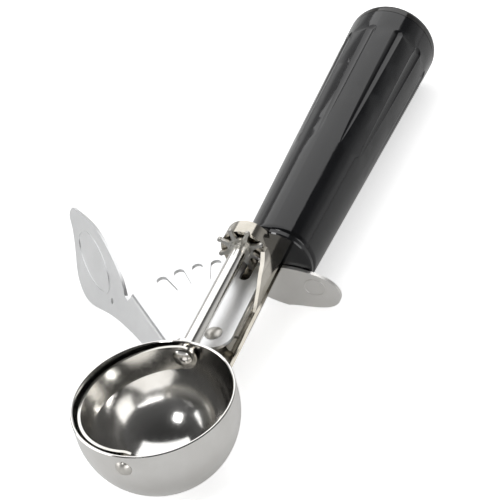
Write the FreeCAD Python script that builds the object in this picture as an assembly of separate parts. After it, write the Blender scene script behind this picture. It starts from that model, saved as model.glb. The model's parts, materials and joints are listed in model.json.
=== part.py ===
import FreeCAD, Part
import math
import os

os.makedirs("parts", exist_ok=True)

V = FreeCAD.Vector
X_AXIS = V(1, 0, 0)
Y_AXIS = V(0, 1, 0)
Z_AXIS = V(0, 0, 1)

# Working frame: X runs along the scraper shaft from the bowl to the handle,
# Y points to the thumb lever side, Z points up, zero is the middle of the bowl's mouth.
# At the end everything is moved so that the middle of the footprint is zero on the table.

# Length of the bars that cut holes
cutter = 12.0

# Bowl
bowl_outer_r = 22.9
bowl_wall = 0.8
bowl_inner_r = bowl_outer_r - bowl_wall
bowl_centre_z = -5.6
lip_chamfer = 0.25
fit_play = 0.02
table_z = bowl_centre_z - bowl_outer_r

# Scraper shaft and its bearings
axis_z = -4.4
shaft_r = 2.38
journal_r = 1.8
running_gap = 0.06
shaft_head_r = 2.9
shaft_head_len = 1.0
shaft_tail_r = 2.5
shaft_tail_len = 0.9
bushing_wall = 0.8
bushing_flange_r = 4.2
bushing_flange_len = 0.9
bushing_proud = 0.4

# Scraper blade, a strip bent to a half ring with an ear at each end
blade_gap = 1.2
blade_outer_r = bowl_inner_r - blade_gap
blade_thick = 0.8
blade_width = 8.0
ear_r = 4.0
blade_rest_deg = 5.0
front_rivet_r = 1.25
front_head_r = 2.4
front_head_len = 1.3
front_inner_head_r = 2.1
front_inner_head_len = 0.8
ear_washer_r = 2.3

# Pinion, a thin stamped star that runs in the slots of the sector
pinion_x = 68.0
pinion_thick = 1.0
pinion_teeth = 8
pinion_pitch_r = 6.95
pinion_tip_r = 7.7
pinion_root_r = 4.1
tooth_foot_w = 2.6
tooth_foot_r = 2.5
tooth_neck_w = 1.1
tooth_neck_r = 5.7
tooth_tip_w = 1.4
pinion_phase_deg = -61.8
hub_r = 3.3
hub_len = 1.1
hub_notches = 9
hub_notch_r = 0.45

# Thumb lever: slotted sector, bend and thumb pad from one sheet
pivot_x = 38.0
pivot_y = -1.2
sheet = 1.1
sector_top_z = axis_z - pinion_pitch_r + sheet / 2.0
sector_outer_r = 35.2
slot_rim = 1.2
slot_len = 10.0
slot_end_r = sector_outer_r - slot_rim
slot_inner_r = slot_end_r - slot_len
slot_width = 3.3
slot_first_deg = 50.0
slot_pitch_deg = 360.0 / pinion_teeth * pinion_pitch_r / (pinion_x + pinion_thick / 2.0 - pivot_x)
slot_count = 6
sector_low_deg = -9.5
sector_high_deg = 60.0
sector_hub_r = 6.2
bend_deg = 45.0
bend_offset = 13.2
pad_len = 86.0
bend_share = 32.0 / 86.0
neck_share = 33.6 / 86.0
bend_end = pad_len * bend_share
flare_deg = 25.0
bend_inner_r = 0.8
spring_eye_s = 43.5
spring_eye_w = -9.3
spring_eye_r = 0.9
oval_s = 61.6
oval_w = -5.6
oval_long = 14.6
oval_short = 6.0
oval_turn_deg = 8.0
oval_line = 0.9
oval_height = 0.2
pad_drop = 18.95
pad_rise = 4.4
pad_neck_s = pad_len * neck_share
pad_neck_w = -3.2
pad_root_w = -4.4

# Pad outline as shares of the pad's length and of its rise or drop from the bend line
PAD_UPPER = [(0.419, -0.66), (0.473, 0.0), (0.562, 0.545), (0.655, 0.864), (0.759, 1.0), (0.866, 0.773), (0.959, 0.409)]
PAD_NOSE = [(0.991, 0.18), (1.0, -0.27)]
PAD_LOWER = [(0.981, -0.169), (0.93, -0.327), (0.888, -0.528), (0.842, -0.781), (0.781, -0.95), (0.705, -1.0),
             (0.617, -0.913), (0.508, -0.739), (0.398, -0.612), (0.279, -0.517), (0.14, -0.443), (0.047, -0.39)]

# Lever pivot
pivot_rivet_r = 1.9
pivot_head_r = 2.7
pivot_head_len = 0.9
pivot_tail_len = 0.8
spacer_r = 2.6
axial_gap = 0.1

# Return spring
spring_wire_r = 0.35
spring_coil_r = 3.15
spring_pitch = 0.66
spring_turns = 4
spring_end_deg = -10.0
spring_drop = 0.8
spring_top_z = sector_top_z - sheet - spring_drop
spring_wire_sides = 6
spring_long_leg = 25.0
spring_short_leg = 6.4

# Frame, one channel that opens upwards, with a hood over the pinion
frame_y = -2.7
frame_z = -10.2
frame_r = 8.3
frame_wall = 1.0
frame_front_x = 12.0
frame_rear_x = 73.9
flange_thick = 1.0
flange_r = 7.9
hood_front_x = 69.6
hood_y = -0.2
hood_z = -5.7
hood_r = 7.2
right_wall_low_z = -14.2
right_wall_high_z = -3.3
sweep_start_x = 36.0
left_wall_z = -14.8
slot_clear = 0.55
sector_gap_x = 41.0
web_thick = 1.2
web_top_z = -1.4
web_low_side_z = -4.3
web_low_side_y = -6.0

# Upper edge of the right wall as shares of the way from its low end to the hood
WALL_SWEEP = [(0.0, 0.0), (0.208, 0.183), (0.327, 0.33), (0.446, 0.514), (0.551, 0.633), (0.673, 0.752),
              (0.833, 0.853), (0.955, 0.963), (1.0, 1.0)]

# Finger rest
rest_x = 71.8
rest_thick = 1.2
rest_reach = 27.4
rest_height = 14.7
rest_clear = 0.95

# Finger rest outline as shares of its reach to the right and of its height, from the top down
REST_LINE = [(-0.036, 0.0), (0.416, 0.0), (0.533, 0.034), (0.715, 0.116), (0.825, 0.204), (0.923, 0.327),
             (0.996, 0.517), (1.0, 0.721), (0.934, 0.898), (0.803, 0.986), (0.628, 1.0), (0.365, 1.0),
             (0.146, 0.844), (-0.007, 0.626), (-0.08, 0.354)]
REST_CORNER = 11

# Handle
fit_gap = 0.05
grip_y = -7.5
grip_z = -13.0
grip_yaw_deg = -1.0
grip_yaw_x = 60.0
grip_clear = 0.3
grip_front_x = frame_rear_x + flange_thick + grip_clear
grip_front_r = 11.8
grip_front_round = 2.2
grip_rear_x = 192.4
grip_rear_r = 15.5
cap_gap = 0.25
cap_len = 5.2
cap_edge_r = 3.4
plug_len = 8.0
tang_r = 4.0
tang_end_x = 168.0
core_r = 9.0
core_start_x = 158.0
washer_thick = 1.5
nut_flats = 11.0
nut_sides = 6
nut_len = 5.0
flute_count = 10
flute_first_deg = -4.5
flute_r = 3.4
flute_depth = 0.6
flute_fade = 1.25
flute_start = 10.4
flute_len = 82.0


def tube(r_out, r_in, length, base, direction):
    """Plain ring of the given length."""
    outer = Part.makeCylinder(r_out, length, base, direction)
    inner = Part.makeCylinder(r_in, length, base, direction)
    return outer.cut(inner)


def face_of(points):
    """Flat face inside a closed line through the points."""
    return Part.Face(Part.makePolygon(points + [points[0]]))


def smooth(points):
    """Smooth open curve through the points."""
    curve = Part.BSplineCurve()
    curve.interpolate(points)
    return curve.toShape()


def dome(radius, height, base, direction):
    """Low rounded head standing on its flat side."""
    ball_r = (radius * radius + height * height) / (2.0 * height)
    ball = Part.makeSphere(ball_r, base + direction * (height - ball_r))
    return ball.common(Part.makeCylinder(radius, height, base, direction))


def on_shaft(x):
    """Point on the scraper axis."""
    return V(x, 0, axis_z)


# Bowl
def bowl():
    """Half ball with a short straight wall above it and a narrow bevelled lip."""
    c = bowl_centre_z
    k = lip_chamfer
    diagonal = math.sqrt(0.5)
    outer = Part.Arc(V(0, 0, c - bowl_outer_r),
                     V(bowl_outer_r * diagonal, 0, c - bowl_outer_r * diagonal),
                     V(bowl_outer_r, 0, c))
    inner = Part.Arc(V(bowl_inner_r, 0, c),
                     V(bowl_inner_r * diagonal, 0, c - bowl_inner_r * diagonal),
                     V(0, 0, c - bowl_inner_r))
    lip = [V(bowl_outer_r, 0, c), V(bowl_outer_r, 0, -k), V(bowl_outer_r - k, 0, 0),
           V(bowl_inner_r + k, 0, 0), V(bowl_inner_r, 0, -k), V(bowl_inner_r, 0, c)]
    edges = [outer.toShape()]
    for a, b in zip(lip, lip[1:]):
        edges.append(Part.makeLine(a, b))
    edges.append(inner.toShape())
    edges.append(Part.makeLine(V(0, 0, c - bowl_inner_r), V(0, 0, c - bowl_outer_r)))
    shell = Part.Face(Part.Wire(edges)).revolve(V(0, 0, 0), Z_AXIS, 360)
    front_hole = Part.makeCylinder(front_rivet_r + fit_play, cutter / 2.0, on_shaft(-bowl_outer_r - 1), X_AXIS)
    rear_hole = Part.makeCylinder(bushing_r() + fit_play, cutter / 2.0, on_shaft(bowl_outer_r - cutter / 3.0), X_AXIS)
    return shell.cut(front_hole).cut(rear_hole)


def bowl_form():
    """Solid of the bowl's outside: a ball with a straight bar above its middle."""
    radius = bowl_outer_r + fit_play
    ball = Part.makeSphere(radius, V(0, 0, bowl_centre_z))
    return ball.fuse(Part.makeCylinder(radius, bowl_outer_r, V(0, 0, bowl_centre_z), Z_AXIS))


def bushing_r():
    """Outside radius of the sleeve that carries the shaft in the bowl's back wall."""
    return shaft_r + running_gap + bushing_wall


def shaft_bushing():
    """Sleeve through the bowl's back wall, with a collar outside the bowl."""
    start = bowl_inner_r - bushing_proud
    end = bowl_outer_r + bushing_flange_len
    sleeve = Part.makeCylinder(bushing_r(), end - start, on_shaft(start), X_AXIS)
    collar_len = bushing_flange_len + bowl_wall
    collar = Part.makeCylinder(bushing_flange_r, collar_len, on_shaft(end - collar_len), X_AXIS).cut(bowl_form())
    body = sleeve.fuse(collar)
    return body.cut(Part.makeCylinder(shaft_r + running_gap, cutter, on_shaft(start - 1), X_AXIS))


def scraper_shaft():
    """Rod with a shoulder and journal at the pinion end and a rounded head inside the bowl."""
    ear_inside = math.sqrt((blade_outer_r - blade_thick) ** 2 - shaft_head_r ** 2) - fit_play
    rod = Part.makeCylinder(shaft_r, pinion_x - ear_inside, on_shaft(ear_inside), X_AXIS)
    head = dome(shaft_head_r, shaft_head_len, on_shaft(ear_inside), -X_AXIS)
    journal_len = hood_front_x + web_thick + 2 * axial_gap - pinion_x
    journal = Part.makeCylinder(journal_r, journal_len, on_shaft(pinion_x), X_AXIS)
    tail = dome(shaft_tail_r, shaft_tail_len, on_shaft(pinion_x + journal_len), X_AXIS)
    return rod.fuse(head).fuse(journal).fuse(tail)


def turn_to_rest(shape):
    """Turn a blade drawn towards the thumb lever side to where it rests."""
    turned = shape.copy()
    turned.rotate(on_shaft(0), X_AXIS, -blade_rest_deg)
    return turned


def scraper_blade():
    """Half ring strip with a rounded ear at each end, all from one strip."""
    base = V(0, 0, axis_z - blade_width / 2.0)
    ring = tube(blade_outer_r, blade_outer_r - blade_thick, blade_width, base, Z_AXIS)
    half = Part.makeBox(3 * blade_outer_r, 2 * blade_outer_r, 2 * blade_width,
                        V(-1.5 * blade_outer_r, 0, axis_z - blade_width))
    strip = ring.common(half)
    for side in (-1, 1):
        x_low = min(side * blade_outer_r, side * (blade_outer_r - blade_thick))
        ear = Part.makeCylinder(ear_r, blade_thick, on_shaft(x_low), X_AXIS)
        strip = strip.fuse(ear)
    front_bore = Part.makeCylinder(front_rivet_r + running_gap, cutter, on_shaft(-blade_outer_r - cutter / 2.0), X_AXIS)
    rear_bore = Part.makeCylinder(shaft_r, cutter, on_shaft(blade_outer_r - cutter / 2.0), X_AXIS)
    return turn_to_rest(strip.cut(front_bore).cut(rear_bore).removeSplitter())


def front_pivot_rivet():
    """Rivet through the bowl's front wall that carries the blade's front ear."""
    outside = -bowl_outer_r + 2 * fit_play
    inside = -(blade_outer_r - blade_thick) + axial_gap
    shank_x = outside - front_head_len / 2.0
    shank = Part.makeCylinder(front_rivet_r, inside - shank_x, on_shaft(shank_x), X_AXIS)
    head = dome(front_head_r, front_head_len, on_shaft(outside), -X_AXIS)
    inner_head = dome(front_inner_head_r, front_inner_head_len, on_shaft(inside), X_AXIS)
    return head.cut(bowl_form()).fuse(shank).fuse(inner_head)


def front_washer():
    """Ring that fills the space between the bowl's front wall and the blade's ear."""
    outside = -math.sqrt(bowl_inner_r ** 2 - ear_washer_r ** 2) + fit_play
    length = -blade_outer_r - axial_gap - outside
    return tube(ear_washer_r, front_rivet_r + fit_play, length, on_shaft(outside), X_AXIS)


# Pinion
def pinion_gear():
    """Star with thin teeth and round tips, bored for the shaft's journal."""
    star = Part.makeCylinder(pinion_root_r, pinion_thick, on_shaft(pinion_x), X_AXIS)
    tip_r = tooth_tip_w / 2.0
    tip_centre = pinion_tip_r - tip_r
    for i in range(pinion_teeth):
        foot = [V(pinion_x, tooth_foot_r, axis_z - tooth_foot_w / 2.0),
                V(pinion_x, tooth_neck_r, axis_z - tooth_neck_w / 2.0),
                V(pinion_x, tip_centre, axis_z - tooth_neck_w / 2.0),
                V(pinion_x, tip_centre, axis_z + tooth_neck_w / 2.0),
                V(pinion_x, tooth_neck_r, axis_z + tooth_neck_w / 2.0),
                V(pinion_x, tooth_foot_r, axis_z + tooth_foot_w / 2.0)]
        tooth = face_of(foot).extrude(X_AXIS * pinion_thick)
        tip = Part.makeCylinder(tip_r, pinion_thick, V(pinion_x, tip_centre, axis_z), X_AXIS)
        tooth = tooth.fuse(tip)
        tooth.rotate(on_shaft(0), X_AXIS, pinion_phase_deg + i * 360.0 / pinion_teeth)
        star = star.fuse(tooth)
    bore = Part.makeCylinder(journal_r, cutter, on_shaft(pinion_x - cutter / 2.0), X_AXIS)
    return star.cut(bore).removeSplitter()


def pinion_hub():
    """Notched ring pressed on the shaft against the pinion's front face."""
    start = pinion_x - hub_len
    ring = tube(hub_r, shaft_r, hub_len, on_shaft(start), X_AXIS)
    for i in range(hub_notches):
        a = 2.0 * math.pi * i / hub_notches
        spot = V(start - 1, hub_r * math.cos(a), axis_z + hub_r * math.sin(a))
        ring = ring.cut(Part.makeCylinder(hub_notch_r, hub_len + 2, spot, X_AXIS))
    return ring


# Thumb lever
def along_bend():
    """Direction of the bend line, seen from the pivot outwards."""
    a = math.radians(bend_deg)
    return V(math.cos(a), math.sin(a), 0)


def off_bend():
    """Level direction from the pivot straight to the bend line."""
    a = math.radians(bend_deg)
    return V(-math.sin(a), math.cos(a), 0)


def polar(radius, angle_deg):
    """Point on the sector's upper face at a radius and angle from the pivot."""
    a = math.radians(angle_deg)
    return V(pivot_x + radius * math.cos(a), pivot_y + radius * math.sin(a), sector_top_z)


def bend_set_back():
    """Distance from the sharp corner of the bend to where the flat sheet starts."""
    return (bend_inner_r + sheet) * math.tan(math.radians((90.0 - flare_deg) / 2.0))


def bend_point(s):
    """Point on the line where the flat sector ends and the bend begins."""
    return polar(0, 0) + along_bend() * s + off_bend() * (bend_offset - bend_set_back())


def pad_point(s, w):
    """Point on the outer face of the pad: s along the bend line, w up the face."""
    f = math.radians(flare_deg)
    corner = polar(0, 0) + along_bend() * s + off_bend() * bend_offset
    up_face = off_bend() * -math.sin(f) + Z_AXIS * math.cos(f)
    return corner + up_face * w


def pad_normal():
    """Outward direction of the pad's outer face."""
    f = math.radians(flare_deg)
    return off_bend() * math.cos(f) + Z_AXIS * math.sin(f)


def sector_slot(angle_deg):
    """Radial slot with round ends, cut right through the sector."""
    inner = slot_inner_r + slot_width / 2.0
    outer = slot_end_r - slot_width / 2.0
    low = -2 * sheet
    middle = Part.makeBox(outer - inner, slot_width, 4 * sheet, V(inner, -slot_width / 2.0, low))
    for r in (inner, outer):
        middle = middle.fuse(Part.makeCylinder(slot_width / 2.0, 4 * sheet, V(r, 0, low)))
    middle.rotate(V(0, 0, 0), Z_AXIS, angle_deg)
    middle.translate(polar(0, 0))
    return middle


def sector():
    """Flat part of the lever with its slots and pivot hole."""
    arc_middle_deg = (sector_low_deg + sector_high_deg) / 2.0
    arc = Part.Arc(polar(sector_outer_r, sector_low_deg), polar(sector_outer_r, arc_middle_deg),
                   polar(sector_outer_r, sector_high_deg))
    outline = [polar(sector_outer_r, sector_high_deg), bend_point(bend_end), bend_point(0),
               polar(sector_hub_r, 180 - sector_low_deg), polar(sector_hub_r, sector_low_deg - 90),
               polar(sector_outer_r, sector_low_deg)]
    edges = [arc.toShape()]
    for a, b in zip(outline, outline[1:]):
        edges.append(Part.makeLine(a, b))
    plate = Part.Face(Part.Wire(edges)).extrude(Z_AXIS * -sheet)
    plate = plate.fuse(Part.makeCylinder(sector_hub_r, sheet, polar(0, 0), -Z_AXIS))
    for i in range(slot_count):
        plate = plate.cut(sector_slot(slot_first_deg - i * slot_pitch_deg))
    return plate.cut(Part.makeCylinder(pivot_rivet_r + running_gap, cutter, polar(0, 0) - Z_AXIS * 3))


def bend():
    """Rounded corner between the sector and the pad."""
    a = bend_point(0)
    b = bend_point(bend_end)
    down = Z_AXIS * -sheet
    section = face_of([a, b, b + down, a + down])
    centre = a - Z_AXIS * (sheet + bend_inner_r)
    return section.revolve(centre, -along_bend(), 90.0 - flare_deg)


def pad():
    """Arm and thumb pad, flat, with a smooth leaf outline."""
    top_w = -bend_set_back()
    upper = [pad_point(pad_len * s, pad_rise * w) for s, w in PAD_UPPER]
    nose = [pad_point(pad_len * s, pad_rise * w) for s, w in PAD_NOSE]
    lower = [pad_point(pad_len * s, pad_drop * w) for s, w in PAD_LOWER]
    neck = pad_point(pad_neck_s, pad_neck_w)
    root = pad_point(0, pad_root_w)
    edges = [Part.makeLine(pad_point(0, top_w), pad_point(bend_end, top_w)),
             Part.makeLine(pad_point(bend_end, top_w), neck),
             Part.makeLine(neck, upper[0]),
             smooth(upper),
             smooth([upper[-1]] + nose + [lower[0]]),
             smooth(lower),
             Part.makeLine(lower[-1], root),
             Part.makeLine(root, pad_point(0, top_w))]
    plate = Part.Face(Part.Wire(edges)).extrude(pad_normal() * -sheet)
    eye_base = pad_point(spring_eye_s, spring_eye_w) + pad_normal() * sheet
    eye = Part.makeCylinder(spring_eye_r, 4 * sheet, eye_base, -pad_normal())
    return plate.cut(eye)


def pad_oval():
    """Low raised oval line on the pad's outer face."""
    turn = math.radians(oval_turn_deg)
    right = pad_point(1, 0) - pad_point(0, 0)
    up = pad_point(0, 1) - pad_point(0, 0)
    long_way = right * math.cos(turn) + up * math.sin(turn)
    centre = pad_point(oval_s, oval_w) - pad_normal() * oval_height
    rings = []
    for grow in (0.0, -oval_line):
        ellipse = Part.Ellipse()
        ellipse.MajorRadius = oval_long + grow
        ellipse.MinorRadius = oval_short + grow
        placement = FreeCAD.Placement(centre, FreeCAD.Rotation(long_way, V(0, 0, 0), pad_normal(), "ZXY"))
        edge = ellipse.toShape()
        edge.Placement = placement
        rings.append(Part.Face(Part.Wire([edge])).extrude(pad_normal() * 2 * oval_height))
    return rings[0].cut(rings[1])


def thumb_lever():
    """Sector, bend and pad as one stamping."""
    return sector().fuse(bend()).fuse(pad()).fuse(pad_oval()).removeSplitter()


# Lever pivot
def inside_channel():
    """Long round bar that fills the channel's inside."""
    return Part.makeCylinder(frame_r - frame_wall - fit_play, frame_rear_x, V(0, frame_y, frame_z), X_AXIS)


def pivot_spacer():
    """Sleeve that stands in the channel and carries the sector."""
    top = sector_top_z - sheet - axial_gap
    sleeve = tube(spacer_r, pivot_rivet_r + running_gap, cutter, V(pivot_x, pivot_y, top - cutter), Z_AXIS)
    return sleeve.common(inside_channel())


def channel_low_z():
    """Height of the channel's outside below the pivot."""
    side = pivot_y - frame_y
    return frame_z - math.sqrt(frame_r ** 2 - side ** 2)


def lever_pivot_rivet():
    """Rivet from under the channel up through the spacer and the sector."""
    low = channel_low_z() - axial_gap
    high = sector_top_z + axial_gap
    shank = Part.makeCylinder(pivot_rivet_r, high - low, V(pivot_x, pivot_y, low), Z_AXIS)
    head = dome(pivot_head_r, pivot_head_len, V(pivot_x, pivot_y, high), Z_AXIS)
    tail = dome(pivot_head_r, pivot_tail_len, V(pivot_x, pivot_y, low), -Z_AXIS)
    channel = Part.makeCylinder(frame_r + fit_play, frame_rear_x, V(0, frame_y, frame_z), X_AXIS)
    return shank.fuse(head).fuse(tail.cut(channel))


def rod_between(a, b, radius):
    """Round wire from one point to another."""
    way = b - a
    return Part.makeCylinder(radius, way.Length, a, way)


def return_spring():
    """Close coil round the spacer with a long leg to the lever and a short leg to the channel."""
    section = []
    for i in range(spring_wire_sides):
        a = 2.0 * math.pi * (i + 0.25 * spring_wire_sides) / spring_wire_sides
        section.append(V(pivot_x + spring_coil_r + spring_wire_r * math.cos(a), pivot_y,
                         spring_top_z + spring_wire_r * math.sin(a)))
    turn = face_of(section).revolve(V(pivot_x, pivot_y, 0), Z_AXIS, 360)
    body = turn
    for i in range(1, spring_turns):
        lower_turn = turn.copy()
        lower_turn.translate(Z_AXIS * -spring_pitch * i)
        body = body.fuse(lower_turn)
    a = math.radians(spring_end_deg)
    end = V(pivot_x + spring_coil_r * math.cos(a), pivot_y + spring_coil_r * math.sin(a), spring_top_z)
    start = V(pivot_x + spring_coil_r, pivot_y, spring_top_z - (spring_turns - 1) * spring_pitch)
    tangent = V(-math.sin(a), math.cos(a), 0)
    long_leg = rod_between(end, end + tangent * spring_long_leg, spring_wire_r)
    short_leg = rod_between(start, start - Y_AXIS * spring_short_leg, spring_wire_r)
    return body.fuse(long_leg).fuse(short_leg)


# Frame
def section_point(centre, radius, angle):
    """Point on a circle of the frame's cross section."""
    return V(0, centre.y + radius * math.cos(angle), centre.z + radius * math.sin(angle))


def rounded_bar(inset, x_from, x_to):
    """Bar with the frame's cross section: a wide round trough that narrows to the hood's arch."""
    trough = V(0, frame_y, frame_z)
    arch = V(0, hood_y, hood_z)
    low_r = frame_r - inset
    top_r = hood_r - inset
    up = math.atan2(arch.z - trough.z, arch.y - trough.y)
    spread = math.acos((low_r - top_r) / (arch - trough).Length)
    left, right = up - spread, up + spread
    under = Part.Arc(section_point(trough, low_r, left), section_point(trough, low_r, up + math.pi),
                     section_point(trough, low_r, right))
    over = Part.Arc(section_point(arch, top_r, right), section_point(arch, top_r, up),
                    section_point(arch, top_r, left))
    edges = [under.toShape(),
             Part.makeLine(section_point(trough, low_r, right), section_point(arch, top_r, right)),
             over.toShape(),
             Part.makeLine(section_point(arch, top_r, left), section_point(trough, low_r, left))]
    bar = Part.Face(Part.Wire(edges)).extrude(X_AXIS * (x_to - x_from))
    bar.translate(X_AXIS * x_from)
    return bar


def side_profile(top_edges, width_from, width_to):
    """Block below a line drawn in side view, between two widths."""
    low = 2 * table_z
    first = top_edges[0].Vertexes[0].Point
    last = top_edges[-1].Vertexes[-1].Point
    edges = list(top_edges)
    edges.append(Part.makeLine(last, V(last.x, 0, low)))
    edges.append(Part.makeLine(V(last.x, 0, low), V(first.x, 0, low)))
    edges.append(Part.makeLine(V(first.x, 0, low), first))
    block = Part.Face(Part.Wire(edges)).extrude(Y_AXIS * (width_to - width_from))
    block.translate(V(0, width_from, 0))
    return block


def sector_gap(x_from):
    """Clear space at the height of the sector, as long as the sector's reach."""
    low = sector_top_z - sheet - slot_clear
    high = sector_top_z + slot_clear
    reach = pivot_x + sector_outer_r + slot_clear
    return Part.makeBox(reach - x_from, 4 * frame_r, high - low, V(x_from, frame_y - 2 * frame_r, low))


def pinion_room():
    """Clear round space in front of the hood for the pinion's tips."""
    start = pinion_x - slot_clear
    return Part.makeCylinder(pinion_tip_r + slot_clear, hood_front_x - start, on_shaft(start), X_AXIS)


def frame_channel():
    """Channel with a low left wall, a swept right wall and a hood behind the pinion."""
    above = hood_z + 2 * hood_r
    shell = rounded_bar(0, frame_front_x, frame_rear_x)
    shell = shell.cut(rounded_bar(frame_wall, frame_front_x - 1, frame_rear_x + 1))
    run = hood_front_x - sweep_start_x
    rise = right_wall_high_z - right_wall_low_z
    sweep = smooth([V(sweep_start_x + run * i, 0, right_wall_low_z + rise * k) for i, k in WALL_SWEEP])
    right_top = [Part.makeLine(V(frame_front_x, 0, right_wall_low_z), V(sweep_start_x, 0, right_wall_low_z)), sweep,
                 Part.makeLine(V(hood_front_x, 0, right_wall_high_z), V(hood_front_x, 0, above)),
                 Part.makeLine(V(hood_front_x, 0, above), V(frame_rear_x, 0, above))]
    right = shell.common(side_profile(right_top, frame_y - 2 * frame_r, frame_y))
    left_top = [Part.makeLine(V(frame_front_x, 0, left_wall_z), V(hood_front_x, 0, left_wall_z)),
                Part.makeLine(V(hood_front_x, 0, left_wall_z), V(hood_front_x, 0, above)),
                Part.makeLine(V(hood_front_x, 0, above), V(frame_rear_x, 0, above))]
    left = shell.common(side_profile(left_top, frame_y, frame_y + 2 * frame_r))
    body = right.fuse(left)
    body = body.cut(sector_gap(sector_gap_x))
    body = body.cut(pinion_room())
    body = body.cut(bowl_form())
    body = body.cut(Part.makeCylinder(pivot_rivet_r + fit_play, 2 * frame_r, V(pivot_x, pivot_y, frame_z - 2 * frame_r)))
    return body.fuse(rear_flange()).removeSplitter()


def rear_flange():
    """Plate that closes the channel's rear end and holds the handle's tang."""
    plate = rounded_bar(0, frame_rear_x, frame_rear_x + flange_thick)
    seat = Part.makeCylinder(flange_r, flange_thick, grip_point(frame_rear_x), X_AXIS)
    return plate.fuse(seat)


def bearing_plate():
    """Upright web inside the hood with the bearing for the shaft's journal."""
    low = sector_top_z + slot_clear
    web = rounded_bar(frame_wall, hood_front_x, hood_front_x + web_thick)
    side = 2 * frame_r
    outline = [V(hood_front_x, side, low), V(hood_front_x, side, web_top_z), V(hood_front_x, 0, web_top_z),
               V(hood_front_x, web_low_side_y, web_low_side_z), V(hood_front_x, -side, web_low_side_z),
               V(hood_front_x, -side, low)]
    keep = face_of(outline).extrude(X_AXIS * web_thick)
    bore = Part.makeCylinder(journal_r + running_gap, cutter, on_shaft(hood_front_x - 1), X_AXIS)
    return web.common(keep).cut(bore)


def finger_rest():
    """Plate round the channel with a rounded finger tab on the right."""
    top_z = sector_top_z - sheet - slot_clear - rest_clear
    points = [V(rest_x, -rest_reach * i, top_z - rest_height * k) for i, k in REST_LINE]
    tab = smooth(points[1:REST_CORNER + 1])
    under = smooth(points[REST_CORNER:])
    edges = [Part.makeLine(points[0], points[1]), tab, under, Part.makeLine(points[-1], points[0])]
    plate = Part.Face(Part.Wire(edges)).extrude(X_AXIS * rest_thick)
    return plate.cut(rounded_bar(-fit_play, rest_x - 1, rest_x + rest_thick + 1))


# Handle
def grip_point(x):
    """Point on the handle's axis before the handle is turned."""
    return V(x, grip_y, grip_z)


def set_on_frame(shape):
    """Turn a handle piece by the small angle between the handle and the shaft."""
    turned = shape.copy()
    turned.rotate(grip_point(grip_yaw_x), Z_AXIS, grip_yaw_deg)
    return turned


def flute(angle_deg):
    """Long shallow groove that starts near the cap and runs out forwards."""
    slope = math.atan2(grip_rear_r - grip_front_r, grip_rear_x - grip_front_x)
    start_x = grip_rear_x - flute_start
    surface = grip_rear_r - flute_start * math.tan(slope)
    run_out = slope - flute_fade * flute_depth / flute_len
    way = V(-math.cos(run_out), 0, -math.sin(run_out))
    base = V(start_x, grip_y, grip_z + surface + flute_r - flute_depth)
    cutter = Part.makeCylinder(flute_r, flute_len, base, way).fuse(Part.makeSphere(flute_r, base))
    cutter.rotate(grip_point(0), X_AXIS, angle_deg)
    return cutter


def handle_grip():
    """Tapered round grip with flutes, bored for the tang and the fixing nut."""
    r0 = grip_front_r
    k = grip_front_round
    lean = k * (1.0 - math.sqrt(0.5))
    corner = Part.Arc(V(grip_front_x, 0, r0 - k), V(grip_front_x + lean, 0, r0 - lean), V(grip_front_x + k, 0, r0))
    edges = [Part.makeLine(V(grip_front_x, 0, 0), V(grip_front_x, 0, r0 - k)),
             corner.toShape(),
             Part.makeLine(V(grip_front_x + k, 0, r0), V(grip_rear_x, 0, grip_rear_r)),
             Part.makeLine(V(grip_rear_x, 0, grip_rear_r), V(grip_rear_x, 0, 0)),
             Part.makeLine(V(grip_rear_x, 0, 0), V(grip_front_x, 0, 0))]
    body = Part.Face(Part.Wire(edges)).revolve(V(0, 0, 0), X_AXIS, 360)
    body.translate(V(0, grip_y, grip_z))
    for i in range(flute_count):
        body = body.cut(flute(flute_first_deg + i * 360.0 / flute_count))
    body = body.cut(Part.makeCylinder(tang_r + fit_gap, grip_rear_x, grip_point(grip_front_x - 1), X_AXIS))
    body = body.cut(Part.makeCylinder(core_r, grip_rear_x, grip_point(core_start_x), X_AXIS))
    return set_on_frame(body)


def handle_end_cap():
    """Cap with a rounded edge and a plug that fills the grip's rear bore."""
    x0 = grip_rear_x + cap_gap
    x1 = x0 + cap_len
    r0 = grip_rear_r
    k = cap_edge_r
    lean = k * (1.0 - math.sqrt(0.5))
    corner = Part.Arc(V(x1 - k, 0, r0), V(x1 - lean, 0, r0 - lean), V(x1, 0, r0 - k))
    plug_r = core_r - fit_gap
    edges = [Part.makeLine(V(x0 - plug_len, 0, 0), V(x0 - plug_len, 0, plug_r)),
             Part.makeLine(V(x0 - plug_len, 0, plug_r), V(x0, 0, plug_r)),
             Part.makeLine(V(x0, 0, plug_r), V(x0, 0, r0)),
             Part.makeLine(V(x0, 0, r0), V(x1 - k, 0, r0)),
             corner.toShape(),
             Part.makeLine(V(x1, 0, r0 - k), V(x1, 0, 0)),
             Part.makeLine(V(x1, 0, 0), V(x0 - plug_len, 0, 0))]
    body = Part.Face(Part.Wire(edges)).revolve(V(0, 0, 0), X_AXIS, 360)
    body.translate(V(0, grip_y, grip_z))
    return set_on_frame(body)


def handle_tang():
    """Steel rod from the frame's rear plate through the grip."""
    start = frame_rear_x + flange_thick + fit_play
    rod = Part.makeCylinder(tang_r, tang_end_x - start, grip_point(start), X_AXIS)
    half = 2 * tang_r
    front = Part.makeBox(cutter, 2 * half, 2 * half, V(start - cutter, grip_y - half, grip_z - half))
    return set_on_frame(rod).cut(front)


def tang_washer():
    """Washer on the tang, seated at the bottom of the grip's rear bore."""
    ring = tube(core_r - fit_gap, tang_r + fit_gap, washer_thick, grip_point(core_start_x), X_AXIS)
    return set_on_frame(ring)


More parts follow.
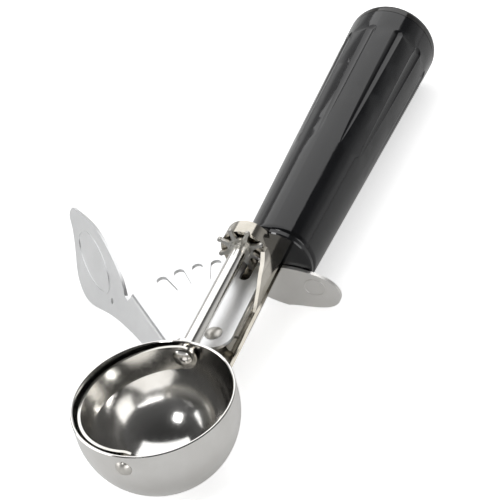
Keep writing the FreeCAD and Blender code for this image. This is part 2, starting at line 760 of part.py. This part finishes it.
def tang_nut():
    """Six sided nut that holds the grip on the tang."""
    x0 = core_start_x + washer_thick
    corner_r = nut_flats / 2.0 / math.cos(math.pi / nut_sides)
    points = []
    for i in range(nut_sides):
        a = 2.0 * math.pi * i / nut_sides
        points.append(V(x0, grip_y + corner_r * math.cos(a), grip_z + corner_r * math.sin(a)))
    nut = face_of(points).extrude(X_AXIS * nut_len)
    return set_on_frame(nut.cut(Part.makeCylinder(tang_r + fit_gap / 2.0, cutter, grip_point(x0 - 1), X_AXIS)))


pieces = {
    "bowl": bowl(),
    "shaft_bushing": shaft_bushing(),
    "scraper_shaft": scraper_shaft(),
    "scraper_blade": scraper_blade(),
    "front_pivot_rivet": front_pivot_rivet(),
    "front_washer": front_washer(),
    "pinion_gear": pinion_gear(),
    "pinion_hub": pinion_hub(),
    "thumb_lever": thumb_lever(),
    "pivot_spacer": pivot_spacer(),
    "lever_pivot_rivet": lever_pivot_rivet(),
    "return_spring": return_spring(),
    "frame_channel": frame_channel(),
    "bearing_plate": bearing_plate(),
    "finger_rest": finger_rest(),
    "handle_grip": handle_grip(),
    "handle_end_cap": handle_end_cap(),
    "handle_tang": handle_tang(),
    "tang_washer": tang_washer(),
    "tang_nut": tang_nut(),
}

whole = Part.makeCompound(list(pieces.values())).optimalBoundingBox(True, False)
to_table = V(-whole.Center.x, -whole.Center.y, -table_z)
for name, shape in pieces.items():
    shape.translate(to_table)
    shape.exportStep("parts/" + name + ".step")
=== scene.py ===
import json
import math

import bmesh
import bpy
from mathutils import Matrix, Vector


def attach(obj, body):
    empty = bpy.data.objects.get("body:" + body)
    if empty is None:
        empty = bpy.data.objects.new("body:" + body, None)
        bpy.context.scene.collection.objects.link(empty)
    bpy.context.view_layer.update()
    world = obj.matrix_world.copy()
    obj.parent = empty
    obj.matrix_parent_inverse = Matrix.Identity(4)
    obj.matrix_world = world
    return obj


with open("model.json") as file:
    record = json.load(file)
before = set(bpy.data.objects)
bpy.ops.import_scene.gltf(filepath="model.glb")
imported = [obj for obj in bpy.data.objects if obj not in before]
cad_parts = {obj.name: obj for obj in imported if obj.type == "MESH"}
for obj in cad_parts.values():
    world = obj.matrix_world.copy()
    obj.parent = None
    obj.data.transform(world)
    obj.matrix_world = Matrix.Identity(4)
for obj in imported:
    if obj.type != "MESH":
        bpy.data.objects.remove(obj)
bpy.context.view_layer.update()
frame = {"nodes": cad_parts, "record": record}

# The part's working frame has its zero at the middle of the bowl's mouth. SHIFT takes it to the table frame.
SHIFT = Vector((-0.086940, -0.020920, 0.0285))

# Middle of the grip's front end across the part, in mm
GRIP_Y = -7.5
GRIP_Z = -13.0

# Colour inputs of the mix node
COLOUR_A = 6
COLOUR_B = 7

# Range that most of a steel's noise falls in
NOISE_LOW = 0.3
NOISE_HIGH = 0.7


# Materials

class Nodes:
    """Small helper that adds nodes to one material and links them."""

    def __init__(self, name):
        self.mat = bpy.data.materials.new(name)
        self.mat.use_nodes = True
        self.tree = self.mat.node_tree
        self.tree.nodes.clear()
        self.out = self.add("ShaderNodeOutputMaterial")
        self.shader = self.add("ShaderNodeBsdfPrincipled")
        self.link(self.shader.outputs["BSDF"], self.out.inputs["Surface"])

    def add(self, kind, **values):
        node = self.tree.nodes.new(kind)
        for key, value in values.items():
            setattr(node, key, value)
        return node

    def link(self, a, b):
        self.tree.links.new(a, b)

    def set(self, socket, value):
        self.shader.inputs[socket].default_value = value


def coords(n, scale=(1.0, 1.0, 1.0), turn=(0.0, 0.0, 0.0)):
    """Object coordinates, stretched and turned."""
    tex = n.add("ShaderNodeTexCoord")
    mapping = n.add("ShaderNodeMapping")
    mapping.inputs["Scale"].default_value = scale
    mapping.inputs["Rotation"].default_value = turn
    n.link(tex.outputs["Object"], mapping.inputs["Vector"])
    return mapping.outputs["Vector"]


def noise(n, vector, scale, detail, rough):
    """Noise between 0 and 1 at the vector."""
    tex = n.add("ShaderNodeTexNoise")
    tex.inputs["Scale"].default_value = scale
    tex.inputs["Detail"].default_value = detail
    tex.inputs["Roughness"].default_value = rough
    n.link(vector, tex.inputs["Vector"])
    return tex.outputs["Fac"]


def ramp(n, fac, low, high, a, b):
    """Numbers from a to b as fac goes from low to high."""
    node = n.add("ShaderNodeMapRange")
    node.inputs["From Min"].default_value = low
    node.inputs["From Max"].default_value = high
    node.inputs["To Min"].default_value = a
    node.inputs["To Max"].default_value = b
    n.link(fac, node.inputs["Value"])
    return node.outputs["Result"]


def mix_colour(n, fac, a, b):
    """Colours from a to b as fac goes from 0 to 1."""
    node = n.add("ShaderNodeMix", data_type="RGBA")
    node.inputs[COLOUR_A].default_value = (*a, 1.0)
    node.inputs[COLOUR_B].default_value = (*b, 1.0)
    n.link(fac, node.inputs["Factor"])
    return node.outputs[2]


def bump(n, height, strength, distance):
    """Bump node for the height."""
    node = n.add("ShaderNodeBump")
    node.inputs["Strength"].default_value = strength
    node.inputs["Distance"].default_value = distance
    n.link(height, node.inputs["Height"])
    return node


def steel(name, light, dark, rough, spread, grain=(1.0, 1.0, 1.0), grain_bump=0.0, turn=(0.0, 0.0, 0.0)):
    """Sheet or bar steel: a tint and polish that vary, faint grain and small scratches."""
    n = Nodes(name)
    n.set("Metallic", 1.0)
    cloud = noise(n, coords(n), scale=60.0, detail=4.0, rough=0.6)
    tint = mix_colour(n, ramp(n, cloud, NOISE_LOW, NOISE_HIGH, 0.0, 1.0), dark, light)
    n.link(tint, n.shader.inputs["Base Color"])
    line = noise(n, coords(n, grain, turn), scale=900.0, detail=2.0, rough=0.6)
    patch = noise(n, coords(n), scale=140.0, detail=3.0, rough=0.5)
    add = n.add("ShaderNodeMath", operation="ADD")
    n.link(ramp(n, line, NOISE_LOW, NOISE_HIGH, 0.0, spread), add.inputs[0])
    n.link(ramp(n, patch, NOISE_LOW, NOISE_HIGH, rough, rough + spread), add.inputs[1])
    n.link(add.outputs["Value"], n.shader.inputs["Roughness"])
    scratch = noise(n, coords(n, grain, turn), scale=1600.0, detail=2.0, rough=0.7)
    wave = noise(n, coords(n), scale=90.0, detail=2.0, rough=0.4)
    fine = bump(n, scratch, strength=grain_bump, distance=0.00004)
    large = bump(n, wave, strength=0.06, distance=0.0006)
    n.link(fine.outputs["Normal"], large.inputs["Normal"])
    n.link(large.outputs["Normal"], n.shader.inputs["Normal"])
    return n.mat


def gloss_black(name, light, dark):
    """Moulded gloss plastic with a faint orange peel and rubbed patches."""
    n = Nodes(name)
    cloud = noise(n, coords(n), scale=45.0, detail=4.0, rough=0.55)
    tint = mix_colour(n, ramp(n, cloud, 0.35, 0.65, 0.0, 1.0), dark, light)
    n.link(tint, n.shader.inputs["Base Color"])
    rub = noise(n, coords(n, (1.0, 3.0, 3.0)), scale=120.0, detail=4.0, rough=0.6)
    n.link(ramp(n, rub, 0.35, 0.7, 0.07, 0.14), n.shader.inputs["Roughness"])
    n.set("Specular IOR Level", 0.5)
    peel = noise(n, coords(n), scale=420.0, detail=2.0, rough=0.5)
    scratch = noise(n, coords(n, (0.12, 1.0, 1.0)), scale=1500.0, detail=2.0, rough=0.6)
    soft = bump(n, peel, strength=0.05, distance=0.0003)
    fine = bump(n, scratch, strength=0.05, distance=0.00005)
    n.link(soft.outputs["Normal"], fine.inputs["Normal"])
    n.link(fine.outputs["Normal"], n.shader.inputs["Normal"])
    return n.mat


# Each steel's light and dark colour, roughness and its spread, grain and bump
STEELS = {
    "bowl_steel": dict(light=(0.84, 0.83, 0.81), dark=(0.74, 0.725, 0.70), rough=0.09, spread=0.04,
                       grain_bump=0.03),
    "blade_steel": dict(light=(0.78, 0.77, 0.73), dark=(0.62, 0.60, 0.56), rough=0.10, spread=0.05,
                        grain_bump=0.03),
    "lever_steel": dict(light=(0.86, 0.865, 0.87), dark=(0.78, 0.785, 0.79), rough=0.30, spread=0.06,
                        grain=(0.08, 0.08, 1.0), grain_bump=0.20, turn=(0.0, 0.0, math.radians(-45))),
    "frame_steel": dict(light=(0.64, 0.61, 0.55), dark=(0.42, 0.39, 0.33), rough=0.08, spread=0.05,
                        grain_bump=0.03),
    "rest_steel": dict(light=(0.88, 0.87, 0.85), dark=(0.80, 0.785, 0.765), rough=0.32, spread=0.06,
                       grain=(1.0, 0.08, 1.0), grain_bump=0.08),
    "shaft_steel": dict(light=(0.82, 0.81, 0.78), dark=(0.74, 0.72, 0.69), rough=0.10, spread=0.04,
                        grain=(1.0, 0.1, 0.1), grain_bump=0.04),
    "rivet_steel": dict(light=(0.72, 0.70, 0.66), dark=(0.58, 0.56, 0.52), rough=0.26, spread=0.08,
                        grain_bump=0.10),
    "pinion_steel": dict(light=(0.62, 0.61, 0.58), dark=(0.44, 0.43, 0.40), rough=0.26, spread=0.08,
                         grain_bump=0.12),
    "spring_steel": dict(light=(0.62, 0.61, 0.58), dark=(0.46, 0.44, 0.42), rough=0.24, spread=0.06,
                         grain_bump=0.06),
    "inner_steel": dict(light=(0.60, 0.60, 0.58), dark=(0.46, 0.46, 0.45), rough=0.35, spread=0.08,
                        grain_bump=0.10),
}
PLASTICS = {
    "black_plastic": dict(light=(0.008, 0.0085, 0.010), dark=(0.004, 0.004, 0.005)),
    "cap_plastic": dict(light=(0.020, 0.019, 0.018), dark=(0.012, 0.011, 0.010)),
}
looks = {name: steel(name, **values) for name, values in STEELS.items()}
looks.update({name: gloss_black(name, **values) for name, values in PLASTICS.items()})
for part in frame["record"]["subparts"]:
    node = frame["nodes"][part["node"]]
    node.data.materials.clear()
    node.data.materials.append(looks[part["material_slot"]])


# Pieces added to the CAD

def tool(x, y, z):
    """A point of the part's working frame, in mm, in the table frame in m."""
    return Vector((x, y, z)) / 1000.0 + SHIFT


def add_piece(name, bm, body, slot):
    """One mesh piece that rides a body and has the slot's material."""
    bmesh.ops.recalc_face_normals(bm, faces=bm.faces)
    mesh = bpy.data.meshes.new(name)
    bm.to_mesh(mesh)
    bm.free()
    obj = bpy.data.objects.new(name, mesh)
    bpy.context.scene.collection.objects.link(obj)
    mesh.materials.append(looks[slot])
    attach(obj, body)


def half_circle(bm, x, radius):
    """Arc about the grip's middle at one x, on the finger side of an upright chord."""
    chord = 0.35
    count = 49
    edge = math.acos(chord / radius)
    out = []
    for i in range(count):
        a = -edge + 2.0 * edge * i / (count - 1)
        out.append(bm.verts.new(tool(x, GRIP_Y - radius * math.cos(a), GRIP_Z + radius * math.sin(a))))
    return out


def strip(bm, a, b):
    """Faces between two lines with as many points."""
    for i in range(len(a) - 1):
        bm.faces.new((a[i], a[i + 1], b[i + 1], b[i]))


def grip_collar():
    """Black lip in front of the grip that covers the edge of the frame's rear plate beside the hood."""
    front_x = 73.40
    step_x = 73.82
    back_x = 75.12
    outer_r = 11.8
    bore_r = 8.1
    chamfer = 0.35
    bm = bmesh.new()
    face = half_circle(bm, front_x, outer_r - chamfer)
    rim = half_circle(bm, front_x + chamfer, outer_r)
    back = half_circle(bm, back_x, outer_r)
    lip = half_circle(bm, back_x, bore_r)
    seat = half_circle(bm, step_x, bore_r)
    rings = (face, rim, back, lip, seat)
    bm.faces.new(face)
    bm.faces.new(seat)
    for a, b in zip(rings, rings[1:]):
        strip(bm, a, b)
    bm.faces.new([ring[0] for ring in rings] + [ring[-1] for ring in reversed(rings)])
    add_piece("grip_collar", bm, "frame", "black_plastic")


def rest_ring():
    """Bare ring line that stands on the front face of the finger rest."""
    middle_y = -19.65
    middle_z = -20.25
    height_share = 0.92
    outer_r = 3.50
    inner_r = 3.06
    slope = 0.10
    foot_x = 71.785
    top_x = 71.66
    count = 64
    rows = ((foot_x, outer_r), (top_x, outer_r - slope), (top_x, inner_r + slope), (foot_x, inner_r))
    bm = bmesh.new()
    loops = []
    for x, radius in rows:
        loop = []
        for i in range(count):
            a = math.tau * i / count
            y = middle_y + radius * math.cos(a)
            z = middle_z + height_share * radius * math.sin(a)
            loop.append(bm.verts.new(tool(x, y, z)))
        loops.append(loop)
    for a, b in zip(loops, loops[1:] + loops[:1]):
        strip(bm, a + a[:1], b + b[:1])
    add_piece("rest_ring", bm, "frame", "rest_steel")


grip_collar()
rest_ring()


# Floor, light and camera

def floor():
    """Large pale floor that keeps the shadow, lifted to white for the camera and evened out in mirrors."""
    half = 6.0
    camera_lift = 0.62
    mirror_share = 0.35
    mesh = bpy.data.meshes.new("floor")
    corners = [(-half, -half, 0), (half, -half, 0), (half, half, 0), (-half, half, 0)]
    mesh.from_pydata(corners, [], [(0, 1, 2, 3)])
    obj = bpy.data.objects.new("floor", mesh)
    bpy.context.scene.collection.objects.link(obj)
    n = Nodes("floor_white")
    n.set("Base Color", (0.94, 0.94, 0.94, 1.0))
    n.set("Roughness", 0.9)
    n.set("Specular IOR Level", 0.1)
    path = n.add("ShaderNodeLightPath")
    grey = n.add("ShaderNodeEmission")
    grey.inputs["Color"].default_value = (0.55, 0.55, 0.54, 1.0)
    mirror = n.add("ShaderNodeMixShader")
    n.link(ramp(n, path.outputs["Is Glossy Ray"], 0.0, 1.0, 0.0, mirror_share), mirror.inputs["Fac"])
    n.link(n.shader.outputs["BSDF"], mirror.inputs[1])
    n.link(grey.outputs["Emission"], mirror.inputs[2])
    white = n.add("ShaderNodeEmission")
    n.link(ramp(n, path.outputs["Is Camera Ray"], 0.0, 1.0, 0.0, camera_lift), white.inputs["Strength"])
    total = n.add("ShaderNodeAddShader")
    n.link(mirror.outputs["Shader"], total.inputs[0])
    n.link(white.outputs["Emission"], total.inputs[1])
    n.link(total.outputs["Shader"], n.out.inputs["Surface"])
    mesh.materials.append(n.mat)


def lamp(name, place, width, power, height=None):
    """Soft box that faces the middle of the part. It is square if it has no height."""
    data = bpy.data.lights.new(name, "AREA")
    data.energy = power
    data.size = width
    if height:
        data.shape = "RECTANGLE"
        data.size_y = height
    obj = bpy.data.objects.new(name, data)
    bpy.context.scene.collection.objects.link(obj)
    obj.location = place
    obj.rotation_mode = "QUATERNION"
    obj.rotation_quaternion = (-Vector(place)).to_track_quat("-Z", "Y")


def camera():
    """Camera at the photograph's place, for a square picture."""
    focal_share = 3.4
    data = bpy.data.cameras.new("camera")
    data.sensor_width = 36.0
    data.lens = focal_share * data.sensor_width
    data.sensor_fit = "HORIZONTAL"
    data.clip_start = 0.01
    data.clip_end = 20.0
    obj = bpy.data.objects.new("camera", data)
    bpy.context.scene.collection.objects.link(obj)
    place = Vector((-0.288645, -0.192058, 0.301356))
    forward = Vector((0.704732, 0.373143, -0.603421))
    right = Vector((0.331691, -0.925131, -0.184701))
    up = Vector((0.627163, 0.069985, 0.775737))
    turn = Matrix((right, up, -forward)).transposed().to_4x4()
    obj.matrix_world = Matrix.Translation(place + SHIFT) @ turn
    bpy.context.scene.camera = obj


def studio():
    """Soft boxes in a world that is light low down and dark overhead, and pale for the camera."""
    world = bpy.data.worlds.new("studio")
    bpy.context.scene.world = world
    world.use_nodes = True
    nodes = world.node_tree.nodes
    link = world.node_tree.links.new
    nodes.clear()
    out = nodes.new("ShaderNodeOutputWorld")
    tex = nodes.new("ShaderNodeTexCoord")
    split = nodes.new("ShaderNodeSeparateXYZ")
    link(tex.outputs["Generated"], split.inputs[0])
    band = nodes.new("ShaderNodeValToRGB")
    band.color_ramp.interpolation = "EASE"
    stops = [(0.0, 0.72), (0.08, 0.70), (0.28, 0.36), (0.50, 0.10), (1.0, 0.04)]
    while len(band.color_ramp.elements) < len(stops):
        band.color_ramp.elements.new(0.5)
    for element, (place, level) in zip(band.color_ramp.elements, stops):
        element.position = place
        element.color = (level, level, level, 1.0)
    link(split.outputs["Z"], band.inputs["Fac"])
    sky = nodes.new("ShaderNodeBackground")
    sky.inputs["Strength"].default_value = 1.0
    link(band.outputs["Color"], sky.inputs["Color"])
    pale = nodes.new("ShaderNodeBackground")
    path = nodes.new("ShaderNodeLightPath")
    mixer = nodes.new("ShaderNodeMixShader")
    link(path.outputs["Is Camera Ray"], mixer.inputs["Fac"])
    link(sky.outputs["Background"], mixer.inputs[1])
    link(pale.outputs["Background"], mixer.inputs[2])
    link(mixer.outputs["Shader"], out.inputs["Surface"])
    lamp("back_panel", (0.56, 0.20, 0.96), width=1.60, power=11.5, height=1.60)
    lamp("key_box", (-0.45, 0.90, 0.45), width=0.90, power=3.0, height=0.60)
    lamp("front_box", (-0.80, -0.60, 0.30), width=0.70, power=2.0, height=0.35)
    lamp("spot_box", (-0.65, 0.10, 0.75), width=0.16, power=0.8)


floor()
camera()
studio()

bpy.context.scene.view_settings.view_transform = "Standard"
